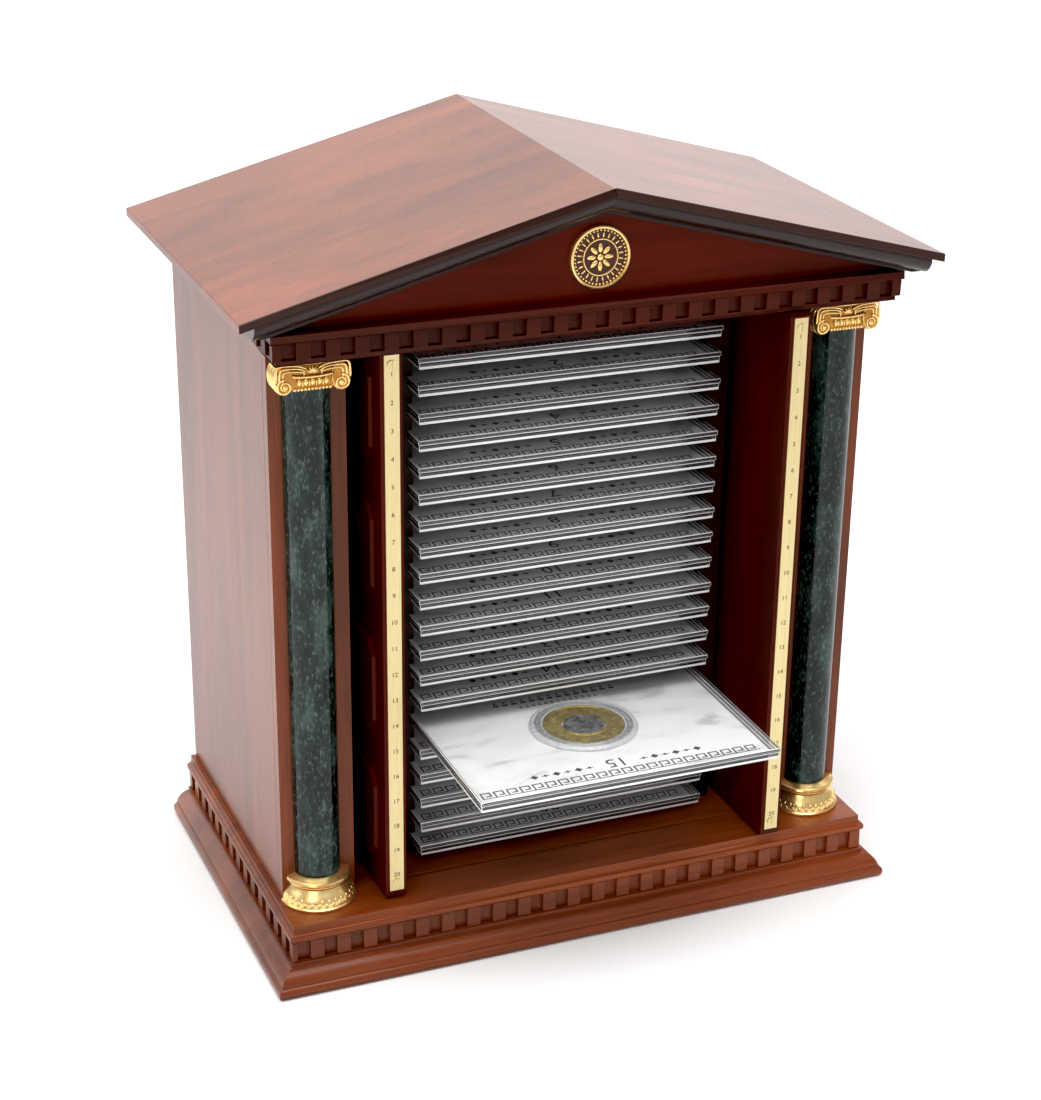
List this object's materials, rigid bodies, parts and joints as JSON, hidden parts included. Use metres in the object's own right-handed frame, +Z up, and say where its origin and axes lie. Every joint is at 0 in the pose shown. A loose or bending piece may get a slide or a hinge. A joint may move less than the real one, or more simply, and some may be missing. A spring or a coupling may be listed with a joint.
{
  "type": "coin display cabinet",
  "caption": "Small temple-fronted wooden cabinet with half columns, pocket doors and a column of slim sliding coin cases, one pulled out.",
  "frame": {"origin": "centre of the plinth's underside", "axes": "+Z up, +Y from the front to the back, +X to the right as seen from the front"},
  "size_m": [0.3152, 0.2209, 0.3504],
  "materials": {
    "mahogany": "satin, red-brown with darker figure",
    "dark_mahogany": "satin, dark",
    "green_marble": "polished, light veins",
    "gilt": "polished gilt",
    "brushed_brass": "brushed",
    "polished_brass": "polished",
    "steel": "ground",
    "clear_case": "clear moulded plastic",
    "printed_card": "printed, satin",
    "frosted_plastic": "frosted",
    "gold_insert": "satin gold foil",
    "old_silver": "worn, toned"
  },
  "bodies": {
    "cabinet": {"plinth_core": "mahogany", "base_mouldings": "mahogany", "base_dentil_bands": "mahogany", "deck_mouldings": "mahogany", "deck_board": "dark_mahogany", "left_side_panel": "mahogany", "right_side_panel": "mahogany", "back_panel": "mahogany", "pilasters": "mahogany", "column_shafts": "green_marble", "column_bases": "gilt", "column_capitals": "gilt", "ceiling_board": "mahogany", "fascia_strips": "mahogany", "entablature_dentils": "mahogany", "crown_mouldings": "mahogany", "pediment_board": "mahogany", "rear_gable": "mahogany", "raking_cornices": "mahogany", "roof_panels": "mahogany", "medallion": "gilt", "rack_cheeks": "dark_mahogany", "rack_base": "dark_mahogany"},
    "left_door": {"left_door": "mahogany", "left_door_pins": "steel", "left_index_strip": "brushed_brass", "left_strip_screws": "brushed_brass", "left_pull_boss": "polished_brass"},
    "left_pull_ring": {"left_pull_ring": "polished_brass"},
    "right_door": {"right_door": "mahogany", "right_door_pins": "steel", "right_index_strip": "brushed_brass", "right_strip_screws": "brushed_brass", "right_pull_boss": "polished_brass"},
    "right_pull_ring": {"right_pull_ring": "polished_brass"},
    "tray_01": {"tray_01": "clear_case"},
    "tray_02": {"tray_02": "clear_case"},
    "tray_03": {"tray_03": "clear_case"},
    "tray_04": {"tray_04": "clear_case"},
    "tray_05": {"tray_05": "clear_case"},
    "tray_06": {"tray_06": "clear_case"},
    "tray_07": {"tray_07": "clear_case"},
    "tray_08": {"tray_08": "clear_case"},
    "tray_09": {"tray_09": "clear_case"},
    "tray_10": {"tray_10": "clear_case"},
    "tray_11": {"tray_11": "clear_case"},
    "tray_12": {"tray_12": "clear_case"},
    "tray_13": {"tray_13": "clear_case"},
    "tray_14": {"tray_14": "clear_case"},
    "tray_15": {"tray_15_base": "clear_case", "tray_15_lid": "clear_case", "tray_15_card": "printed_card", "tray_15_capsule": "frosted_plastic", "tray_15_insert": "gold_insert", "tray_15_coin": "old_silver"},
    "tray_16": {"tray_16": "clear_case"},
    "tray_17": {"tray_17": "clear_case"},
    "tray_18": {"tray_18": "clear_case"},
    "tray_19": {"tray_19": "clear_case"},
    "tray_20": {"tray_20": "clear_case"}
  },
  "joints": [
    {"name": "left_door_slide", "type": "slide", "parent": "cabinet", "child": "left_door", "axis": [0, -1, 0], "range_m": [-0.0173, 0.0745]},
    {"name": "left_pull_swing", "type": "hinge", "parent": "left_door", "child": "left_pull_ring", "pos_m": [-0.1, -0.02245, 0.19439], "axis": [0, 1, 0], "range_deg": [0, 90]},
    {"name": "right_door_slide", "type": "slide", "parent": "cabinet", "child": "right_door", "axis": [0, -1, 0], "range_m": [-0.0276, 0.0641]},
    {"name": "right_pull_swing", "type": "hinge", "parent": "right_door", "child": "right_pull_ring", "pos_m": [0.1, -0.03275, 0.19439], "axis": [0, -1, 0], "range_deg": [0, 90]},
    {"name": "tray_01_slide", "type": "slide", "parent": "cabinet", "child": "tray_01", "axis": [0, -1, 0], "range_m": [-0.00092, 0.1635]},
    {"name": "tray_02_slide", "type": "slide", "parent": "cabinet", "child": "tray_02", "axis": [0, -1, 0], "range_m": [-0.00012, 0.1643]},
    {"name": "tray_03_slide", "type": "slide", "parent": "cabinet", "child": "tray_03", "axis": [0, -1, 0], "range_m": [-0.00071, 0.1637]},
    {"name": "tray_04_slide", "type": "slide", "parent": "cabinet", "child": "tray_04", "axis": [0, -1, 0], "range_m": [-0.00036, 0.1641]},
    {"name": "tray_05_slide", "type": "slide", "parent": "cabinet", "child": "tray_05", "axis": [0, -1, 0], "range_m": [-0.00043, 0.164]},
    {"name": "tray_06_slide", "type": "slide", "parent": "cabinet", "child": "tray_06", "axis": [0, -1, 0], "range_m": [0, 0.1644]},
    {"name": "tray_07_slide", "type": "slide", "parent": "cabinet", "child": "tray_07", "axis": [0, -1, 0], "range_m": [-0.00002, 0.1644]},
    {"name": "tray_08_slide", "type": "slide", "parent": "cabinet", "child": "tray_08", "axis": [0, -1, 0], "range_m": [-0.00096, 0.1634]},
    {"name": "tray_09_slide", "type": "slide", "parent": "cabinet", "child": "tray_09", "axis": [0, -1, 0], "range_m": [-0.00019, 0.1642]},
    {"name": "tray_10_slide", "type": "slide", "parent": "cabinet", "child": "tray_10", "axis": [0, -1, 0], "range_m": [-0.00025, 0.1642]},
    {"name": "tray_11_slide", "type": "slide", "parent": "cabinet", "child": "tray_11", "axis": [0, -1, 0], "range_m": [-0.001, 0.1634]},
    {"name": "tray_12_slide", "type": "slide", "parent": "cabinet", "child": "tray_12", "axis": [0, -1, 0], "range_m": [-0.00025, 0.1642]},
    {"name": "tray_13_slide", "type": "slide", "parent": "cabinet", "child": "tray_13", "axis": [0, -1, 0], "range_m": [-0.0002, 0.1642]},
    {"name": "tray_14_slide", "type": "slide", "parent": "cabinet", "child": "tray_14", "axis": [0, -1, 0], "range_m": [-0.00097, 0.1634]},
    {"name": "tray_15_slide", "type": "slide", "parent": "cabinet", "child": "tray_15", "axis": [0, -1, 0], "range_m": [-0.0763, 0.0881]},
    {"name": "tray_16_slide", "type": "slide", "parent": "cabinet", "child": "tray_16", "axis": [0, -1, 0], "range_m": [0, 0.1644]},
    {"name": "tray_17_slide", "type": "slide", "parent": "cabinet", "child": "tray_17", "axis": [0, -1, 0], "range_m": [-0.00049, 0.1639]},
    {"name": "tray_18_slide", "type": "slide", "parent": "cabinet", "child": "tray_18", "axis": [0, -1, 0], "range_m": [-0.0003, 0.1641]},
    {"name": "tray_19_slide", "type": "slide", "parent": "cabinet", "child": "tray_19", "axis": [0, -1, 0], "range_m": [-0.00064, 0.1638]},
    {"name": "tray_20_slide", "type": "slide", "parent": "cabinet", "child": "tray_20", "axis": [0, -1, 0], "range_m": [-0.00007, 0.1643]}
  ]
}
